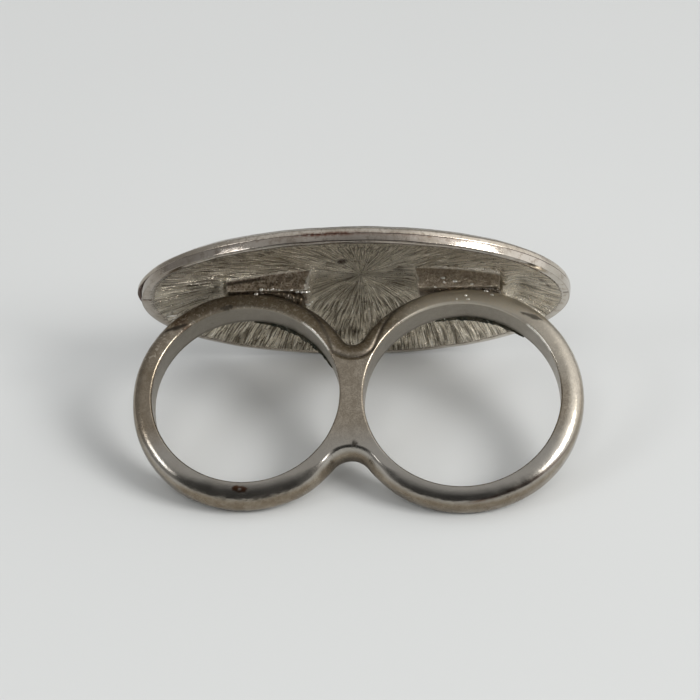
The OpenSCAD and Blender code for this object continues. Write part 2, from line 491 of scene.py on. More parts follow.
def band_height(p, centre, extra, out_r, web):
    """Half the band's width at points of its outline plane: a full dome in from the outline, then flat."""
    along = np.clip((p - centre) @ extra / (extra @ extra), 0, 1)
    away = p - centre - extra * along[..., None]
    from_top, from_palm = p - TOP_NOTCH, p - PALM_NOTCH
    in_top = np.linalg.norm(from_top, axis=-1) - TOP_NOTCH_R
    in_palm = np.linalg.norm(from_palm, axis=-1) - PALM_NOTCH_R
    s = np.where(web, np.minimum(in_top, in_palm), out_r - np.linalg.norm(away, axis=-1))
    off_palm = np.abs(np.arctan2(away[..., 0], -away[..., 1]))
    at_extra = smooth(0.75, 0.3, off_way(away, unit(extra))) * ~web
    at_palm = smooth(0.75, 0.3, off_palm) * ~web
    way_to_notch = unit(PALM_NOTCH - centre - extra * (extra[1] < 0))
    arris = np.where(web, (in_palm < in_top) * smooth(1.6, 1.3, off_way(from_palm, -SEAM_WAY)),
                     smooth(0.42, 0.08, off_way(away, way_to_notch)))
    thick = BAND_T + np.linalg.norm(extra) * at_extra + (ARRIS_T - BAND_T) * arris
    palm_power = LEFT_PALM_POWER if extra[1] < 0 else RIGHT_PALM_POWER
    power = FULL_POWER + (palm_power - FULL_POWER) * at_palm + (ARRIS_POWER - FULL_POWER) * arris
    short = np.clip(1 - s / thick, 0, 1)
    return BAND_W / 2 * (1 - short ** power) ** (1 / power) - CREASE_DEPTH * crease(p[..., 0], p[..., 1], s)


def arc(centre, radius, start, end, count):
    """Points on a circle from the direction of start to that of end, the shorter way."""
    a = math.atan2(*(start - centre)[::-1])
    b = math.atan2(*(end - centre)[::-1])
    b = a + (b - a + math.pi) % (2 * math.pi) - math.pi
    t = np.linspace(a, b, count + 1)
    return centre + radius * np.stack([np.cos(t), np.sin(t)], 1)


def loop_half(centre, radius, extra):
    """One loop with its half of the web: points, faces, which points line the hole, and how far round."""
    seam_steps, notch_steps, outer_steps = 80, 26, 340
    front_rows, bevel_rows, wall_rows = 34, 5, 6
    out_r = radius + BAND_T
    mirrored = centre[0] > 0
    side = -1 if mirrored else 1

    # The outline, from the web's palm end over its top end and round the loop
    t = (1 - np.cos(np.pi * np.linspace(0, 1, seam_steps + 1))) / 2
    seam = SEAM_PALM + (SEAM_TOP - SEAM_PALM) * t[:, None]
    palm_c = centre + extra * (extra[1] < 0)
    sector_top, sector_palm = unit(TOP_NOTCH - centre), unit(PALM_NOTCH - palm_c)
    top_touch, palm_touch = centre + out_r * sector_top, palm_c + out_r * sector_palm
    top_arc = arc(TOP_NOTCH, TOP_NOTCH_R, SEAM_TOP, top_touch, notch_steps)
    palm_arc = arc(PALM_NOTCH, PALM_NOTCH_R, palm_touch, SEAM_PALM, notch_steps)
    a = math.atan2(*sector_top[::-1])
    b = math.atan2(*sector_palm[::-1])
    b = a + side * ((side * (b - a)) % (2 * math.pi))
    t = np.linspace(a, b, outer_steps + 1)
    ways = np.stack([np.cos(t), np.sin(t)], 1)
    outer = centre + out_r * ways + np.where((ways @ extra)[:, None] > 0, extra, 0)
    rim = np.concatenate([seam[:-1], top_arc[:-1], outer[:-1], palm_arc[:-1]])
    way = rim - centre
    way = way / np.linalg.norm(way, axis=1, keepdims=True)

    # Rows over the front, round the hole's bevel, through the hole, and back over the far side
    rows = []
    for i in range(front_rows + 1):
        g = 1 - math.cos(math.pi / 2 * i / front_rows)
        p = rim + (centre + (radius + HOLE_BEVEL) * way - rim) * g
        d, e = p - centre, p - palm_c
        under_top = side * (d[:, 0] * sector_top[1] - d[:, 1] * sector_top[0]) >= -1e-6
        over_palm = side * (sector_palm[0] * e[:, 1] - sector_palm[1] * e[:, 0]) >= -1e-6
        toward = (d + e) @ (sector_top + sector_palm) > 0
        h = band_height(p, centre, extra, out_r, under_top & over_palm & toward)
        rows.append(np.column_stack([p, h]))
    wall_top = BAND_W / 2 - HOLE_BEVEL
    turned = np.arange(1, bevel_rows + 1) * math.pi / 2 / bevel_rows
    profile = [*zip(radius + HOLE_BEVEL * (1 - np.sin(turned)), wall_top + HOLE_BEVEL * np.cos(turned)),
               *((radius, wall_top - 2 * wall_top * k / wall_rows) for k in range(1, wall_rows))]
    rows += [np.column_stack([centre + r * way, np.full(len(way), height)]) for r, height in profile]
    first_wall = front_rows + bevel_rows
    rows += [row * (1, 1, -1) for row in rows[first_wall::-1]]
    faces = grid_faces(len(rows), len(rim))
    if mirrored:
        faces = [f[::-1] for f in faces]
    k = np.repeat(np.arange(len(rows)), len(rim))
    inside = ((k >= first_wall) & (k <= first_wall + wall_rows)).astype(float)
    around = np.tile(np.abs(np.arctan2(way[:, 1], way[:, 0])) * radius, len(rows))
    return np.concatenate(rows), faces, inside, around


def spot(points, middle, size, seed):
    """A mark round one place, with a ragged edge."""
    way = np.linalg.norm(points - middle, axis=1) + 0.35 * size * noise3(points * (2.4 / size), seed)
    return smooth(size, 0.3 * size, way)


def cut(points, start, end, wide):
    """A thin mark on the front from one place to another, widest in its middle."""
    x, u, n = points.T
    long, way = math.dist(start, end), unit(np.subtract(end, start))
    along = (x - start[0]) * way[0] + (u - start[1]) * way[1]
    off = np.abs((u - start[1]) * way[0] - (x - start[0]) * way[1]) + 0.08 * noise3(points * 3, 15)
    bulge = 0.35 + 0.65 * np.sin(np.pi * np.clip(along / long, 0, 1))
    ends = within(along, -0.2, 0.1, long - 0.1, long + 0.2)
    return smooth(wide * 1.6, wide * 0.5, off / bulge) * ends * (n > 0.8)


# Dark pits in the shank: place, size and darkness
SHANK_PITS = (((0.1, -5.45, 1.72), 0.42, 1.0), ((-12.5, 9.0, 1.7), 0.42, 1.0), ((-12.05, 9.1, 1.7), 0.36, 1.0),
              ((-12.9, 9.0, 1.7), 0.25, 0.9), ((-18.3, 7.6, 0.9), 0.5, 0.9), ((-17.6, 7.3, 1.3), 0.35, 0.8))
# Dark cuts across the front of the loops where the plate begins: both ends, width and darkness
SHANK_CUTS = (((-18.5, 6.65), (-16.3, 7.3), 0.2, 1.0), ((16.2, 7.97), (18.2, 7.2), 0.22, 0.95))


def shank_marks(points, inside, in_hole):
    """Where the shank is tarnished, sooty, rusty, rubbed bare, dull, pale and tinned, and where shade and light
    are painted on it.
    """
    x, u, n = points.T
    side, left = np.abs(x), smooth(0.6, -0.6, x)
    from_top, from_palm = points[:, :2] - TOP_NOTCH, points[:, :2] - PALM_NOTCH
    ragged = 0.5 + 0.5 * noise3(points * 0.9, 8)
    blotchy = 0.5 + 0.5 * noise3(points * 2.6, 10)
    # How far in from the outline
    edge = np.where(x < 0, LEFT_OUT_R - np.hypot(x - LEFT_C[0], u),
                    RIGHT_OUT_R - np.hypot(x - RIGHT_C[0], u - RIGHT_C[1]))
    edge = np.where(np.abs(from_top[:, 0]) < -0.8 * from_top[:, 1],
                    np.linalg.norm(from_top, axis=1) - TOP_NOTCH_R, edge)
    # The slope from the web down into the inner corner at the palm
    slope = smooth(3.4, 2.6, np.linalg.norm(from_palm, axis=1)) * (u > PALM_NOTCH[1] - 1.0)
    # Degrees round each hole, from the direction of x towards the plate
    turned = np.degrees(np.arctan2(u + RIGHT_DROP * (x > 0), x + HOLE_SPACING / 2 * np.where(x < 0, 1, -1)))

    by_plate = smooth(6.0, 9.5, u) * (0.05 + 0.45 * left) * (0.4 + 0.6 * ragged)
    by_left_joint = smooth(4.5, 7.0, u) * smooth(-12.5, -14.5, x) * smooth(0.35, 0.75, blotchy)
    web_top = 0.35 * smooth(1.5, 6.0, u) * smooth(2.5, 0.5, side)
    web_edge = 0.55 * blotchy * smooth(1.9, 1.5, edge) * smooth(2.9, 3.6, u) * smooth(8.0, 5.5, side)
    # Painted shade as well as tarnish: the underside, the left loop's outer side and the slope into the palm
    # corner are darker.
    under = 0.35 * smooth(1.65, 1.4, n) + 0.65 * smooth(1.3, 0.8, n)
    under = smooth(-8.4, -9.6, u) * under * (0.65 + 0.35 * blotchy)
    under_right = 0.7 * smooth(-9.6, -10.8, u) * smooth(1.2, 0.9, n) * (x > 0)
    left_side = smooth(-17.3, -19.3, x) * smooth(-6.5, -3.0, u) * (0.5 + 0.35 * ragged)
    right_side = 0.12 * smooth(17.5, 19.5, x) * blotchy
    tarnish_and_shade = strongest(by_plate, by_left_joint, web_top, web_edge, under, under_right, left_side, right_side,
                        0.8 * slope * smooth(1.55, 1.0, n), (0.1 + 0.2 * left) * ragged) * (1 - 0.6 * inside)

    # Soot in pits and cuts, and painted shade in the crease, by the top notch, on the slope at the palm, under
    # the left pad and on the far part of the hole walls under the plate.
    soot_and_shade = strongest(
        0.3 * smooth(9.6, 10.9, u) * smooth(1.75, 0.9, n) * left,
        0.75 * crease(x, u, edge + 0.05 * noise3(points * 1.1, 14)) * (n > 1.0),
        0.45 * smooth(0.55, 0.25, edge) * smooth(3.5, 5.0, u) * smooth(7.0, 5.0, side),
        0.7 * slope * smooth(1.0, 0.4, n) * smooth(2.2, 0.6, side),
        0.85 * inside * smooth(-1.15, -1.7, n) * smooth(2.0, 5.5, u),
        *(dark * spot(points, middle, size, 13) for middle, size, dark in SHANK_PITS),
        *(dark * cut(points, start, end, wide) for start, end, wide, dark in SHANK_CUTS))

    # A rust ring under the left loop, a stain by its joint, and a line along the right loop's palm
    ring = np.linalg.norm((points - [-10.75, -9.8, 1.55]) / [0.75, 0.33, 1.0], axis=1)
    ring += 0.35 * noise3(points * 4, 9)
    ridge = bell(n, 1.48 - 0.26 * ((turned + 60) / 30) ** 2, 0.09) * (x > 0)
    rust = strongest(0.55 * spot(points, (-16.9, 7.7, 1.7), 1.4, 12),
                     within(ring, 0.15, 0.4, 0.8, 1.1),
                     0.85 * ridge * within(turned, -95, -80, -35, -15) * (0.4 + 0.6 * blotchy))

    # Painted light: the right loop is paler on its right side and by its joint with the plate, where the right
    # lamp falls.
    pale = np.maximum(0.5 * smooth(9.0, 17.0, x) * smooth(-9.0, -5.0, u), 0.2 * smooth(5.0, 12.0, x))
    pale *= smooth(-1.0, 3.0, u) + smooth(3.0, -1.0, u) * smooth(1.5, 0.8, edge) * smooth(1.2, 1.5, n)
    by_right_joint = 0.85 * smooth(5.5, 8.0, u) * smooth(2.5, 6.5, x)
    pale = np.maximum(pale * smooth(9.5, 7.0, u), by_right_joint) * (1 - inside)

    dull = np.maximum(smooth(6.0, 8.5, u) * (0.6 + 0.4 * smooth(-2, 4, x)),
                      0.5 * smooth(2.2, 1.5, edge) * smooth(2.5, 4.0, u)) * (1 - inside)
    # Tin along the holes' front edges, painted near-white as the highlight on that edge too.
    tinned_and_highlight = np.where(x < 0, within(turned, 27, 31, 49, 56), within(turned, 24, 28, 46, 50))
    tinned_and_highlight *= smooth(0.15, 0.08, in_hole) * smooth(1.5, 1.56, n) * smooth(-0.55, -0.2, noise3(points * 4.5, 16))
    return {"tarnish_and_shade": np.clip(tarnish_and_shade, 0, 1), "soot_and_shade": np.clip(soot_and_shade, 0, 1), "rust": rust, "pale": pale,
            "dull": dull, "tin_and_highlight": tinned_and_highlight, "bare": 0.85 * smooth(-2.5, -6.5, u) * smooth(0.9, 1.4, n)}


def build_shank():
    """Both loops and the web between them, as one skin."""
    halves = zip(loop_half(LEFT_C, LEFT_R, LEFT_EXTRA), loop_half(RIGHT_C, RIGHT_R, RIGHT_EXTRA))
    points, (left_faces, right_faces), inside, around = halves
    start = len(points[0])
    faces = left_faces + [[k + start for k in f] for f in right_faces]
    points, faces, first = weld(np.concatenate(points), faces)
    inside, around = np.concatenate(inside)[first], np.concatenate(around)[first]
    in_hole = np.minimum(np.linalg.norm(points[:, :2] - LEFT_C, axis=1) - LEFT_R,
                         np.linalg.norm(points[:, :2] - RIGHT_C, axis=1) - RIGHT_R)

    # Soft unevenness, less of it by the holes, and a rough underside
    lumps = 0.014 * noise3(points * 0.5, 3) + 0.006 * noise3(points * 1.5, 4) + 0.002 * noise3(points * 5, 5)
    lumps *= np.where(in_hole < 0.3, 0.4, 1.0)
    under = smooth(-8.0, -10.2, points[:, 1]) * smooth(1.55, 1.1, np.abs(points[:, 2])) * (in_hole > 0.6)
    lumps += under * (0.012 * noise3(points * 2.2, 6) + 0.012 * noise3(points * 5.5, 7))
    points = points + point_normals(points, faces) * lumps[:, None]
    marks = shank_marks(points, inside, in_hole)

    # What lies below the floor goes straight up to it
    sunk = place(points)[:, 2] < 0
    points[sunk] += (place(points[sunk])[:, 2:] / -MM) * AXES[:, 2]
    marks |= {"inside": inside, "around": around, "across": points[:, 2]}
    add_piece("double_shank", points, faces, shank_material(), marks, 60)


# The two plates
OUTLINE_A = np.linspace(0, 2 * np.pi, 7201)
OUTLINE_WAY = np.concatenate([[0], np.cumsum(np.hypot(np.diff(HALF_L * np.cos(OUTLINE_A)),
                                                      np.diff(HALF_W * np.sin(OUTLINE_A))))])
OUTLINE_WAY /= OUTLINE_WAY[-1]
# The crack at the left end, and the part lines across the lip: how far round each is, and how wide
CRACK_AT = math.radians(175.5)
CRACK_WIDE = 0.036
PART_LINES = ((math.radians(175.4), 0.012), (math.radians(4), 0.010))


def bowl_u(rho, a):
    """The bowl's surface, which is fuller towards its right end."""
    return PLATE_RISE + BOWL_DEPTH * (1 - rho ** (2.6 + 0.6 * np.cos(a)))


def front_u(rho):
    """The back plate's front, under the face plate."""
    return PLATE_RISE + BACK_EDGE_T + FRONT_RISE * (1 - rho * rho)


def rust_streak(a, turn, seed):
    """The brown streak along the top of the seam."""
    streak = bell(a, math.radians(95.5), 0.11) + 0.45 * bell(a, math.radians(85), 0.5)
    return np.clip(streak * (0.75 + 0.25 * ring_noise(turn, 0, 140, seed)), 0, 1)


class Plate:
    """Rows of points round an oval plate, with marks at each, from the middle of one side to the other's."""

    def __init__(self, columns, names):
        self.columns = columns
        self.turn = np.arange(columns) / columns
        # The angles whose points lie evenly along the outline
        self.a = np.interp(self.turn, OUTLINE_WAY, OUTLINE_A)
        self.rows, self.marks = [], {name: [] for name in names}

    def add(self, x, u, z, **marks):
        """Adds a row. A mark that isn't given is 0 there."""
        self.rows.append(np.column_stack([x, np.broadcast_to(u, x.shape), z]))
        for name, values in self.marks.items():
            values.append(np.broadcast_to(marks.get(name, 0.0), x.shape))

    def oval(self, reach_x, reach_z, u, **marks):
        """Adds a row on an oval, which reaches this far along the plate and along the finger."""
        self.add(reach_x * np.cos(self.a), u, reach_z * np.sin(self.a), **marks)

    def close(self, tips, usual, **special):
        """The closed mesh with a point at each end, and marks whose values there are usual or special."""
        points, faces = np.concatenate(self.rows), grid_faces(len(self.rows), self.columns)
        tip, last = len(points), len(points) - self.columns
        i = np.arange(self.columns)
        j = (i + 1) % self.columns
        faces += np.stack([np.full_like(i, tip), j, i], 1).tolist()
        faces += np.stack([np.full_like(i, tip + 1), last + i, last + j], 1).tolist()
        marks = {name: np.concatenate([*values, special.get(name, usual)])
                 for name, values in self.marks.items()}
        return np.concatenate([points, tips]), faces, marks


# The back plate: bowl, flutes, lip and rim
# Where the strands meet, along the plate and along the finger
STAR_MIDDLE = (0.56, -0.46)
# Small pits and broad hollows in the bowl: place along the plate and along the finger, size and depth
BOWL_PITS = ((-1.3, 2.6, 0.42, 0.22), (0.2, 2.5, 0.32, 0.2), (4.4, 1.3, 0.3, 0.16), (12.6, 3.3, 0.3, 0.2),
             (13.8, 3.2, 0.3, 0.2), (14.4, 3.0, 0.22, 0.16), (-0.3, 0.9, 0.2, 0.1), (3.4, 0.2, 0.2, 0.1))
BOWL_HOLLOWS = ((13.6, 2.3, 1.6, 0.3), (-12.8, 2.0, 1.5, 0.15), (6.2, 2.0, 1.4, -0.2), (-4.6, 2.0, 1.4, -0.2))
# Dark stains in the bowl: place, length, width and darkness
BOWL_STAINS = ((-1.1, 2.7, 0.5, 0.75, 0.8), (-0.85, 1.4, 0.3, 0.4, 0.55), (4.2, 0.65, 0.55, 0.28, 0.8),
               (-3.5, 0.75, 0.35, 0.3, 0.4), (18.4, 2.5, 0.35, 0.5, 0.7), (18.9, 1.6, 0.3, 0.5, 0.8))
# Flutes: how many, where each set starts, is full, fades and is gone, its height, cells to the lip, and seed
FLUTES = ((24, 0.02, 0.06, 0.22, 0.34, 0.030, 3, 21),
          (60, 0.06, 0.14, 0.30, 0.45, 0.038, 4, 22),
          (120, 0.22, 0.38, 0.70, 0.90, 0.046, 4, 23),
          (200, 0.34, 0.52, 2.0, 3.0, 0.050, 5, 24),
          (300, 0.55, 0.75, 2.0, 3.0, 0.060, 6, 25))


def strand_turn(rho, a):
    """Where on the outline the strand through a place of the bowl ends. It runs square to the rim there."""
    deep = 6.0 * (1 - np.exp((rho - 1) / 0.3))
    norm = np.hypot(np.cos(a) / HALF_L, np.sin(a) / HALF_W)
    end = np.arctan2(np.sin(a) * (1 - deep / (HALF_L ** 2 * norm)),
                     np.cos(a) * (1 - deep / (HALF_W ** 2 * norm)))
    return np.interp(end % (2 * np.pi), OUTLINE_A, OUTLINE_WAY)


def lip_width(a):
    """The lip is widest at the plate's ends."""
    middle = 0.2 * smooth(0.3, 0.95, np.sin(a)) + 0.15 * smooth(0.3, 0.95, -np.sin(a))
    return LIP_W - middle + 0.4 * smooth(-0.9, -1.0, np.cos(a))


def ridges(rho, star, turn):
    """How far the flutes stand up from the bowl, as they fan out from the middle and branch."""
    ways = []
    for t in (star, turn):
        sway = 0.0035 * ring_noise(t, rho * 2.5, 26, 11) + 0.0015 * ring_noise(t, rho * 7, 90, 12)
        ways.append((t + sway * smooth(0.0, 0.3, rho)) % 1.0)
    low_rim = smooth(0.15, 0.6, -np.sin(2 * np.pi * turn)) * smooth(0.6, 0.85, rho)
    total = np.zeros_like(rho)
    for count, start, full, fade, gone, tall, cells, seed in FLUTES:
        level = 1 - np.abs(ring_noise(ways[count > 100], rho * cells, count, seed)) * 1.9
        total += tall * (1 + 1.5 * low_rim) * level * smooth(start, full, rho) * (1 - smooth(fade, gone, rho))
    return total, *ways


def pad_skirt(x, z):
    """How far the bowl rises round each pad: a thin ridge along it, and a wide fillet at its outer end."""
    total = np.zeros_like(x)
    for pad_x, tall, wide in ((LEFT_PAD_X, 0.38, 0.5), (RIGHT_PAD_X, 0.75, 1.0)):
        over = np.abs(x - pad_x) - PAD_L / 2
        away = np.hypot(np.maximum(over, 0), np.maximum(np.abs(z) - PAD_W / 2, 0))
        outer_end = smooth(-0.3, 0.1, over) * ((x - pad_x) * pad_x > 0)
        total += 0.12 * bell(away, 0, 0.3) + tall * bell(away, 0, wide) * outer_end
    return total


def dimples(x, z, places, squash):
    """How deep the round dents in the bowl are. Squash makes them narrower along the finger."""
    return sum(deep * np.exp(-(((x - px) / size) ** 2 + ((z - pz) / (size * squash)) ** 2))
               for px, pz, size, deep in places)


def strand_marks(star, way):
    """Marks that let the colours of the strands run without a break round the plate."""
    star, way = 2 * np.pi * star, 2 * np.pi * way
    return {"star_x": np.cos(star), "star_y": np.sin(star), "hair_x": np.cos(way), "hair_y": np.sin(way)}


def bowl_row(plate, rho):
    """Adds one row of the bowl, at one share of the way from the middle to the lip."""
    a, flat = plate.a, 0 * plate.a
    star = np.arctan2(HALF_W * np.sin(a), HALF_L * np.cos(a)) / (2 * np.pi) % 1.0
    stand, star, way = ridges(flat + rho, star, strand_turn(rho, a))
    reach_x, reach_z = HALF_L - lip_width(a), HALF_W - lip_width(a)
    x = reach_x * rho * np.cos(a) + STAR_MIDDLE[0] * (1 - rho ** 2)
    z = reach_z * rho * np.sin(a) + STAR_MIDDLE[1] * (1 - rho ** 2)
    xz = np.stack([x, z, flat], 1)
    pit, skirt = dimples(x, z, BOWL_PITS, 0.8), pad_skirt(x, z)
    lumps = 0.05 * noise3(xz * 0.4, 41) + 0.02 * noise3(xz * 2.2, 42)
    # Taller flutes at the lower left, by the lip, painted bright as glints
    teeth = np.minimum(1.8 * bell(a, math.radians(197), 0.075), 1) * within(rho, 0.92, 0.95, 0.985, 1.0)
    edge = smooth(0.97, 1.0, rho)
    u = bowl_u(np.hypot(x / reach_x, z / reach_z), np.arctan2(z / reach_z, x / reach_x))
    u += dimples(x, z, BOWL_HOLLOWS, 1.0) + pit + 0.01 * edge
    u -= (stand * (1 + teeth) + lumps + skirt) * (1 - edge)

    # Painted shade: darker in the grooves between the flutes, in the pits and in the lip's inner corner.
    groove = np.clip(0.5 - stand / 0.24 + pit * 3.5 - skirt * 2, 0, 1)
    by_lip = 0.6 * smooth(0.975, 1.0, rho) * smooth(0.3, 0.8, np.sin(a))
    ragged = 0.6 * noise3(xz * 2.6, 43)
    shadow = smooth(0.66, 0.8, rho) * smooth(0.12, 0.35, np.sin(a)) * smooth(-0.45, -0.75, np.cos(a))
    stains = (dark * smooth(1.2, 0.5, np.hypot((x - px) / long, (z - pz) / wide) + ragged)
              for px, pz, long, wide, dark in BOWL_STAINS)
    # Painted light: the bowl's right end is paler, and the ridges round the pads and the tall flutes carry a
    # painted highlight.
    pale = 0.12 + 0.8 * smooth(2.0, 12.0, x) - 0.12 * smooth(-3.0, -9.0, x)
    pale += np.where(x < 0, 2.5, 0.6) * skirt
    # The seam mark here holds the stains and the painted shadow inside the lip at the upper left.
    plate.add(x, u, z, groove=np.maximum(groove, by_lip), across=rho, pale=np.clip(pale + teeth, 0, 1),
              seam=np.clip(strongest(0.42 * shadow * (0.8 + ragged), *stains), 0, 1),
              glint=teeth * (np.arange(plate.columns) % 4 == 1), **strand_marks(star, way))


def build_back_plate():
    plate = Plate(1080, ("groove", "lip", "seam", "rust", "across", "pale", "glint", *strand_marks(0, 0)))
    a, turn = plate.a, plate.turn
    flat, width = 0 * a, lip_width(a)
    rim_wave = 0.03 * ring_noise(turn, 0, 23, 31) + 0.015 * ring_noise(turn, 0, 71, 32)
    wobble = 0.02 * ring_noise(turn, 0, 60, 33)
    rust = rust_streak(a, turn, 34)
    crack = bell(a, CRACK_AT, CRACK_WIDE) * (0.75 + 0.25 * ring_noise(turn, 0, 300, 36))
    part_line = sum(bell(a, *line) for line in PART_LINES)
    lip_rust = within(a, 0.05, 0.3, 1.6, 2.0) * (0.6 + 0.4 * ring_noise(turn, 0, 110, 37))
    brown = 0.36 * within(a, 0.75, 1.35, 4.6, 5.6) * (0.85 + 0.15 * ring_noise(turn, 0, 90, 35))
    left = smooth(0.2, -0.5, np.cos(a))
    right_tip = bell(np.minimum(a, 2 * np.pi - a), 0, 0.12)

    def rim_row(inset, u, seam=0.0, **marks):
        # Painted light: the rim is paler on its right side and round its left highlight, most on the lip.
        lit = np.where(u < PLATE_RISE + 0.1, 0.75, 0.45)
        pale = np.maximum(lit * smooth(0.2, 0.75, np.cos(a)), 1.2 * lit * bell(a, 2.06, 0.3))
        seam = np.maximum(seam, 0.14 * smooth(-0.25, -0.7, np.cos(a)))
        inset = inset - rim_wave
        plate.oval(HALF_L - inset, HALF_W - inset, u + flat, pale=pale, seam=seam, across=1.0,
                   **{"lip": 1.0, **marks}, **strand_marks(turn, turn))

    bowl_rows = 60
    for k in range(1, bowl_rows + 1):
        bowl_row(plate, 1 - (1 - k / bowl_rows) ** 1.18)

    # Over the lip's inner corner, and across the lip
    rim_row(width - 0.03, PLATE_RISE + 0.015 + wobble, lip=0.6 - 0.4 * left, rust=lip_rust)
    rim_row(width - 0.12, PLATE_RISE + wobble, lip=0.9 - 0.5 * left, rust=0.9 * lip_rust)
    rim_row(width - 0.20, PLATE_RISE - 0.01 + wobble, lip=1.0 - 0.4 * left, rust=0.2 * lip_rust)
    for share in (0.75, 0.5, 0.25, 0.05):
        crown = 0.03 * math.sin(math.pi * share)
        rim_row(0.22 + (width - 0.34) * share, PLATE_RISE + wobble - crown + 0.08 * part_line,
                seam=0.8 * part_line, lip=1.0 - 0.25 * left * (share > 0.6))
    rim_row(0.18, PLATE_RISE + 0.03 + wobble, seam=0.45, rust=0.8 * rust)
    rim_row(0.14, PLATE_RISE + 0.02 + wobble, rust=0.4 * rust)

    # Down the rim to the seam, and back under the face plate
    top = PLATE_RISE + BACK_EDGE_T + 0.02
    for share in (0.08, 0.15, 0.3, 0.5, 0.7, 0.88, 0.955):
        rim_row(0.125 * (1 - share) ** 1.2 + 0.5 * crack * share,
                PLATE_RISE + (top - PLATE_RISE) * share + wobble * (1 - share),
                seam=np.maximum(brown, 0.6 * part_line * (1 - share) + crack * smooth(0.75, 1.0, share)),
                rust=rust * smooth(0.6, 0.95, share))
    line = 0.25 + 0.75 * rust + 0.5 * right_tip + 0.3 * (np.cos(a) < 0.2)
    rim_row(0.012 + 0.52 * crack, top + 0.01, seam=np.clip(0.5 * line + crack, 0, 1),
            rust=np.clip(rust + 0.1, 0, 1))
    rim_row(0.05 + 0.56 * crack, top + 0.03, seam=1.0, rust=1.0)
    rim_row(0.3 + 0.4 * crack, top + 0.045, seam=1.0, rust=1.0)
    for rho in (0.93, 0.84, 0.74, 0.6, 0.33):
        plate.oval(HALF_L * rho, HALF_W * rho, front_u(rho), lip=1.0, seam=1.0, across=1.0,
                   **strand_marks(turn, turn))
    tips = [[STAR_MIDDLE[0], bowl_u(0.04, 0.0) + 0.02, STAR_MIDDLE[1]], [0, front_u(0.0), 0]]
    points, faces, marks = plate.close(tips, (0.4, 0.0))
    add_piece("back_plate", points, faces, bowl_material(), marks, 50)


# The pads: where their feet end inside the plate, and the side of the squares of their mesh
PAD_FOOT = 13.6
PAD_STEP = 0.08


def box_grid(low, high, step):
    """The surface of a box as an even grid of points and faces."""
    low, high = np.array(low, float), np.array(high, float)
    counts = np.maximum(2, np.ceil((high - low) / step).astype(int))
    points, faces, start = [], [], 0
    for axis in range(3):
        b, c = (axis + 1) % 3, (axis + 2) % 3
        for end in (0, 1):
            s, t = np.meshgrid(*(np.linspace(low[k], high[k], counts[k] + 1) for k in (b, c)), indexing="ij")
            p = np.zeros((s.size, 3))
            p[:, axis] = high[axis] if end else low[axis]
            p[:, b], p[:, c] = s.ravel(), t.ravel()
            g = grid_faces(counts[b] + 1, counts[c] + 1, start, False)
            faces += [f[::-1] if end else f for f in g]
            points.append(p)
            start += len(p)
    return weld(np.concatenate(points), faces)[:2]


def build_pad(name, x, apex, dished, seed):
    """A rough pad between the bowl and a loop, whose apex it reaches. Its long sides are dished in."""
    low = apex - PAD_SINK
    points, faces = box_grid([-PAD_L / 2, low, -PAD_W / 2], [PAD_L / 2, PAD_FOOT, PAD_W / 2], PAD_STEP)
    px, pu, pn = points.T
    rise, left = pu - low, x < 0
    side_gap, end_gap = PAD_W / 2 - np.abs(pn), PAD_L / 2 - np.abs(px)
    rho = np.hypot((px + x) / (HALF_L - LIP_W), pn / (HALF_W - LIP_W))
    foot_gap = bowl_u(rho, np.arctan2(pn / HALF_W, (px + x) / HALF_L)) - pu

    # Worn edges, painted shade at the left pad's foot, and solder up its inner end, with painted highlights on
    # the edges, the foot line and the solder
    near = np.sort(np.stack([side_gap, end_gap, rise]), axis=0)[1]
    edge = strongest(0.75 * smooth(0.14, 0.0, near), 0.8 * smooth(0.03, 0.0, end_gap),
                     smooth(0.42, 0.12, foot_gap))
    shade = 0.85 * within(foot_gap, 0.36, 0.5, 0.65, 0.85) * smooth(0.5, -1.5, px) * left
    uneven = 0.1 * noise3(points * (1, 3, 3), seed + 3)
    hook = np.where(left, px, -px - 0.1) - PAD_L / 2 + 0.12 + 0.22 * smooth(2.2, 0.4, rise) - uneven
    tin_and_highlight = smooth(-0.05, 0.05, hook) * smooth(-0.7, -0.2, noise3(points * 3.2, seed + 4))
    tin_and_highlight *= 0.95 if left else 0.6 * within(rise, 0.6, 1.0, 2.0, 2.6)
    tin_and_highlight *= smooth(PAD_W / 2 - 0.55, PAD_W / 2 - 0.2, pn) * smooth(0.02, 0.06, rise)

    # Drafted ends and dished sides, with a flare at the foot, which goes no deeper than the plate
    share = np.clip(rise / 2.4, 0, 1)
    dish = dished * (1 - (2 * px / PAD_L) ** 2) * np.sin(np.pi * np.clip(share * 1.15, 0, 1))
    flare = 0.26 * smooth(0.5, -0.1, foot_gap) ** 2
    points = np.column_stack([px * (1 - 2 * PAD_DRAFT / PAD_L * (1 - share)) + x,
                              np.minimum(pu, pu + foot_gap + 0.4),
                              pn + (flare - dish) * np.sign(pn) * (side_gap < 0.01)])
    rough = (0.03 * noise3(points * 1.4, seed) + 0.03 * noise3(points * 4.5, seed + 1)
             + 0.022 * noise3(points * 9.0, seed + 2))
    marks = {"edge": edge, "shade": shade, "tin_and_highlight": tin_and_highlight, "pale": np.full(len(px), 0.0 if left else 0.3)}
    add_piece(name, points + point_normals(points, faces) * rough[:, None], faces, pad_material(), marks, 50)


# Solder
# Lumps that fill the joint of each loop and its pad: from where to where along the plate, and how many
LEFT_LUMPS = (-9.6, -5.3, 20)
RIGHT_LUMPS = (8.2, 13.9, 12)
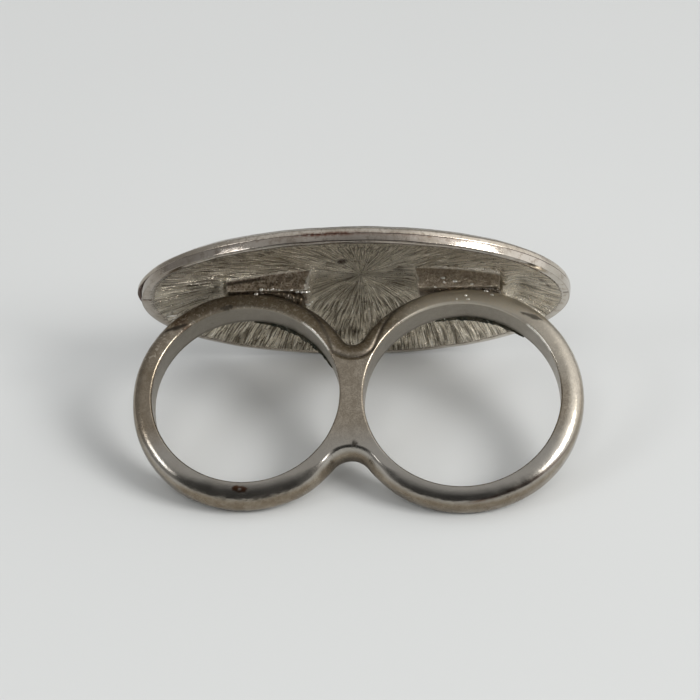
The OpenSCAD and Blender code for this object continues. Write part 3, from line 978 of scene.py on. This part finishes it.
# Bright beads on the pads and loops: place along the plate, height and size
BEADS = ((-9.58, 10.62, 0.13), (-9.05, 10.95, 0.15), (-8.4, 10.93, 0.08), (-7.9, 10.98, 0.10), (-7.3, 10.9, 0.07),
         (-8.75, 10.98, 0.06), (-8.1, 10.9, 0.06), (-7.6, 10.92, 0.05), (-6.1, 10.82, 0.08), (-5.55, 10.78, 0.11),
         (-5.1, 10.76, 0.12), (-4.75, 10.72, 0.12), (-4.45, 10.78, 0.10), (-4.42, 11.1, 0.08), (8.7, 11.83, 0.09),
         (9.86, 11.48, 0.10), (8.79, 11.39, 0.06), (11.5, 11.12, 0.07), (12.86, 10.5, 0.11), (13.5, 10.5, 0.10),
         (13.1, 10.62, 0.07), (13.4, 10.0, 0.08), (10.9, 9.9, 0.08), (10.0, 9.55, 0.06), (11.1, 9.5, 0.07),
         (7.9, 10.9, 0.06), (12.2, 10.75, 0.08))
# Beads along the edge of the left hole: degrees round it and size
EDGE_BEADS = ((29, 0.05), (32, 0.07), (35, 0.06), (37.5, 0.08), (41, 0.09), (43.5, 0.06), (46, 0.08), (49, 0.07),
              (53, 0.06))


def ball_mesh():
    """A round ball of small even triangles, of radius 1."""
    t = (1 + math.sqrt(5)) / 2
    ball = [unit((0, a * 1.0, b * t)) for a in (-1, 1) for b in (-1, 1)]
    ball = np.array([np.roll(p, turn) for turn in range(3) for p in ball])
    side = min(np.linalg.norm(ball[0] - p) for p in ball[1:]) * 1.01
    faces = []
    for i, j, k in itertools.combinations(range(12), 3):
        if max(math.dist(ball[i], ball[j]), math.dist(ball[j], ball[k]), math.dist(ball[k], ball[i])) < side:
            out = np.dot(np.cross(ball[j] - ball[i], ball[k] - ball[i]), ball[i])
            faces.append([i, j, k] if out > 0 else [i, k, j])
    for _ in range(2):
        points, found, finer = [*ball], {}, []

        def half(i, j):
            key = (min(i, j), max(i, j))
            if key not in found:
                found[key] = len(points)
                points.append(unit(points[i] + points[j]))
            return found[key]

        for a, b, c in faces:
            ab, bc, ca = half(a, b), half(b, c), half(c, a)
            finer += [[a, ab, ca], [b, bc, ab], [c, ca, bc], [ab, bc, ca]]
        ball, faces = np.array(points), finer
    return ball, faces


def band_front(x, u):
    """Half the band's width where its front is at one place of the outline plane."""
    centre, radius = (LEFT_C, LEFT_OUT_R) if x < 0 else (RIGHT_C, RIGHT_OUT_R)
    depth = min(max(radius - math.hypot(x - centre[0], u - centre[1]), 0.02), BAND_T)
    return BAND_W / 2 * (1 - (1 - depth / BAND_T) ** FULL_POWER) ** (1 / FULL_POWER)


def build_solder():
    """Solder at the joints between the loops and the pads: burned lumps that fill them, dark also as painted
    shade in the joints, and bright beads.
    """
    rng = np.random.default_rng(7)
    # Each lump has its middle, its size and how burned it is, which also paints the shade in the joint
    lumps = []
    for centre, radius, span in ((LEFT_C, LEFT_OUT_R, LEFT_LUMPS), (RIGHT_C, RIGHT_OUT_R, RIGHT_LUMPS)):
        low = radius + centre[1] - PAD_SINK
        for x in np.linspace(*span):
            foot = centre[1] + math.sqrt(radius ** 2 - (x - centre[0]) ** 2)
            for side in (-1, 1):
                # Right of the loop's crown the gap is open, and the solder lies further back in it
                past = x > 10.3
                size = (0.42, max(low - foot, 0) / 2 + (0.16 if past else 0.2), 0.65 if past else 0.55)
                reach = rng.uniform(0.72, 0.86) if x > 0 else rng.uniform(0.86, 0.92)
                lumps.append(((x, (low + foot) / 2 - 0.05, side * reach), size, 0.9 if past else 1.0))
    for x, u, size in BEADS:
        low = (LEFT_OUT_R if x < 0 else RIGHT_OUT_R - RIGHT_DROP) - PAD_SINK
        size *= 1.7 if x > 7.5 else 1.3
        in_joint = x < -4 and u > 10.3
        n = PAD_W / 2 + 0.02 if u > low - 0.02 else 1.42 if in_joint else band_front(x, u)
        for side in (1, -1):
            shift = 0.0 if side > 0 else rng.uniform(-0.5, 0.5)
            wide, high = size * rng.uniform(0.9, 1.5), size * rng.uniform(0.7, 1.0)
            lumps.append(((x + shift, u, side * n), (wide, high, size * 0.7), 0.0))
    for turned, size in EDGE_BEADS:
        reach, turned = LEFT_R + 0.12, math.radians(turned)
        middle = (LEFT_C[0] + reach * math.cos(turned), reach * math.sin(turned), 1.66)
        lumps.append((middle, (size, size, 0.1), 0.0))

    ball, ball_faces = ball_mesh()
    points, faces, burned_and_shade = [], [], []
    for k, (middle, size, dark) in enumerate(lumps):
        ragged = 1 + (0.3 if dark else 0.2) * noise3(ball * 2.1 + 10 * k, 51)
        points.append(ball * size * ragged[:, None] + middle)
        faces += [[i + len(ball) * k for i in f] for f in ball_faces]
        burned_and_shade.append(np.full(len(ball), dark))
    marks = {"burned_and_shade": np.concatenate(burned_and_shade)}
    add_piece("solder", np.concatenate(points), faces, solder_material(), marks, 60)


# Burned flux, painted near-black also as the shadow behind each hole's far edge: centre and radius of the hole,
# the degrees round it that the crust covers, and a seed
CRUSTS_AND_SHADOWS = ((LEFT_C, LEFT_R, 26, 88, 91), (RIGHT_C, RIGHT_R, 50, 106, 95))


def build_residue_and_shadow():
    """The crust of burned flux along the far edge of each hole, under the plate, which is also painted shadow in
    the gap behind the band.
    """
    points, faces = [], []
    steps, sides = 300, 10
    for centre, radius, start, end, seed in CRUSTS_AND_SHADOWS:
        along = np.linspace(0, 1, steps)
        turned = np.radians(start + (end - start) * along)
        way = np.stack([np.cos(turned), np.sin(turned), 0 * turned], 1)
        path = np.array([*centre, -BAND_W / 2 - 0.06]) + (radius + 0.03) * way
        taper = np.sqrt(np.clip(np.sin(np.pi * along), 0, 1))
        thick = (0.25 + 0.08 * noise3(path * 2.2, seed) + 0.05 * noise3(path * 7, seed + 1)) * taper + 0.012
        first = len(points) * steps
        for k in range(sides):
            b = 2 * np.pi * k / sides
            wide = thick * (1 + 0.25 * noise3(path * 5 + 3 * k, seed + 2))
            points.append(path + (np.sin(b) * np.array([0, 0, 1.0]) - np.cos(b) * way) * wide[:, None])
        for k in range(sides):
            a, b = first + k * steps, first + (k + 1) % sides * steps
            faces += [[a + i, a + i + 1, b + i + 1, b + i] for i in range(steps - 1)]
        faces.append([first + k * steps for k in range(sides)])
        faces.append([first + k * steps + steps - 1 for k in range(sides - 1, -1, -1)])
    add_piece("residue_and_shadow", np.concatenate(points), faces, residue_and_shadow_material(), {}, 60)


# The face plate, a smooth dome with nothing on it
FACE_CORNER = 0.42


def build_face_plate():
    plate = Plate(720, ("seam", "rust", "brown", "dome"))
    a, turn = plate.a, plate.turn
    wave = 0.03 * ring_noise(turn, 0, 19, 61) + 0.012 * ring_noise(turn, 0, 57, 62)
    # It stands out a little behind the crack
    wave += 0.30 * bell(a, math.radians(176), 0.2)
    rust = rust_streak(a, turn, 65)
    crack = bell(a, CRACK_AT, CRACK_WIDE)
    brown = 0.6 * within(a, 2.1, 2.6, 3.2, 3.5)

    def add(inset, u, seam=0.0, rust=0.0, scale=1.0, **marks):
        reach_x, reach_z = ((half - inset + wave) * scale for half in (HALF_L, HALF_W))
        plate.oval(reach_x, reach_z, u, seam=seam, rust=rust, **marks)

    # Up from the middle of its hidden back, then out of the seam and over the corner to the dome
    for rho in (0.3, 0.6, 0.8, 0.93):
        add(0, front_u(rho) + SEAM_GAP, 1.0, 1.0, rho)
    low = PLATE_RISE + BACK_EDGE_T + 0.045
    add(0.30, low + 0.05, 1.0, 1.0)
    add(0.06, low + 0.02 * crack, 1.0, 1.0)
    add(0.018, low + 0.012, np.clip(0.5 + crack, 0, 1), np.clip(rust + 0.1, 0, 1))
    add(0.0, low + 0.05, 0.6 * crack, rust, brown=brown)
    add(0.0, low + 0.14, 0.0, 0.7 * rust, brown=brown)
    add(0.006, FACE_TOP - FACE_CORNER - 0.05, 0.0, 0.15 * rust, brown=brown)
    corner_rows = 9
    for k in range(corner_rows):
        turned = math.pi / 2 * k / corner_rows
        add(0.01 + FACE_CORNER * 0.8 * (1 - math.cos(turned)), FACE_TOP - FACE_CORNER * (1 - math.sin(turned)),
            brown=brown * (1 - k / corner_rows))
    for rho in np.linspace(0.965, 0.03, 34):
        add(0, FACE_TOP + FACE_RISE * (1 - rho * rho), scale=rho, dome=smooth(0.97, 0.88, rho))
    tips = [[0, front_u(0) + SEAM_GAP, 0], [0, FACE_TOP + FACE_RISE, 0]]
    points, faces, marks = plate.close(tips, (0.0, 0.0), dome=(0.0, 1.0))
    uneven = 0.02 * noise3(points * 0.5, 63) + 0.006 * noise3(points * 1.8, 64)
    points = points + point_normals(points, faces) * uneven[:, None]
    add_piece("front_plate", points, faces, face_material(), marks, 50, "face_plate")


build_shank()
build_back_plate()
build_pad("left_pad", LEFT_PAD_X, LEFT_OUT_R, 0.13, 71)
build_pad("right_pad", RIGHT_PAD_X, RIGHT_OUT_R - RIGHT_DROP, 0.03, 81)
build_solder()
build_residue_and_shadow()
build_face_plate()

# Floor, with its reach in metres
FLOOR = 0.9
floor_mesh = bpy.data.meshes.new("floor")
floor_mesh.from_pydata([(-FLOOR, -FLOOR, 0), (FLOOR, -FLOOR, 0), (FLOOR, FLOOR, 0), (-FLOOR, FLOOR, 0)], [],
                       [(0, 1, 2, 3)])
floor_mesh.materials.append(paper_material())
floor = add_object("floor", floor_mesh)

# Light
LIGHT_DISTANCE = 0.95
LIGHT_TARGET = np.array([0, 0, 0.01])


def look_matrix(position, way, up):
    """A matrix whose -Z looks along way."""
    z = -unit(way)
    x = unit(np.cross(up, z))
    rows = np.column_stack([x, np.cross(z, x), z, position])
    return Matrix([*rows.tolist(), (0, 0, 0, 1)])


def seen_from_ring(azimuth, elevation):
    """A direction given in degrees: azimuth 0 is away from the viewer and 90 to the right."""
    a, e = math.radians(azimuth), math.radians(elevation)
    return math.sin(a) * math.cos(e), math.cos(a) * math.cos(e), math.sin(e)


def add_light(name, azimuth, elevation, wide, high, radiance, color):
    """A soft box in one direction from the ring, as wide and high as the angles in degrees."""
    position = LIGHT_DISTANCE * np.array(seen_from_ring(azimuth, elevation))
    light = bpy.data.lights.new(name, "AREA")
    light.shape = "RECTANGLE"
    light.size, light.size_y = (2 * LIGHT_DISTANCE * math.tan(math.radians(v) / 2) for v in (wide, high))
    light.energy = radiance * math.pi * light.size * light.size_y
    light.color = color
    holder = add_object(name, light)
    holder.matrix_world = look_matrix(position, LIGHT_TARGET - position, (0, 0, 1))
    return holder


add_light("right_light", 117, 38, 22, 20, 14.0, (1.0, 0.99, 0.975))
add_light("left_light", 242, 36, 16, 13, 5.0, (0.985, 0.99, 1.0))
add_light("front_fill", 185, 46, 30, 30, 2.7, (1.0, 1.0, 1.0)).visible_glossy = False

world = bpy.data.worlds.new("studio")
bpy.context.scene.world = world
world.use_nodes = True
sky = Nodes(world.node_tree)
sky_way = sky.node("ShaderNodeTexCoord", {}, "Generated")
# The room's even light, and more or less of it from round some directions: azimuth, elevation, the cosines
# where that starts and is full, and how much
ROOM_LIGHT = 0.33
ROOM_PATCHES = ((90, 32, 0.62, 0.9, 0.75), (0, 90, 0.6, 0.9, 0.22), (180, 22, 0.62, 0.80, -0.27))
strengths = []
for azimuth, elevation, start, full, amount in ROOM_PATCHES:
    ways = {0: sky_way, 1: seen_from_ring(azimuth, elevation)}
    dot = sky.node("ShaderNodeVectorMath", ways, "Value", operation="DOT_PRODUCT")
    strengths.append(sky.ramp(dot, start, full, 0.0, amount))
background = world.node_tree.nodes["Background"]
background.inputs["Color"].default_value = (1.0, 1.0, 1.0, 1)
sky.link(sky.plus(*strengths, ROOM_LIGHT), background.inputs["Strength"])

# Camera, at the photograph's place in the ring's own axes
CAMERA_PLACE = (12.395, -92.705, 221.766)
CAMERA_WAY = (-0.0529, 0.4029, -0.9137)
CAMERA_UP = (0.0179, 0.9152, 0.4026)
SENSOR_MM = 36
FOCAL_PIXELS = 2496
PICTURE_PIXELS = 700
camera_data = bpy.data.cameras.new("camera")
camera_data.sensor_fit = "HORIZONTAL"
camera_data.sensor_width = SENSOR_MM
camera_data.lens = SENSOR_MM * FOCAL_PIXELS / PICTURE_PIXELS
camera_data.clip_start = 0.01
camera_data.clip_end = 10
camera = add_object("camera", camera_data)
camera.matrix_world = look_matrix(place(CAMERA_PLACE), CAMERA_WAY @ AXES, CAMERA_UP @ AXES)
bpy.context.scene.camera = camera

bpy.context.scene.view_settings.view_transform = "Standard"
bpy.context.scene.view_settings.look = "None"
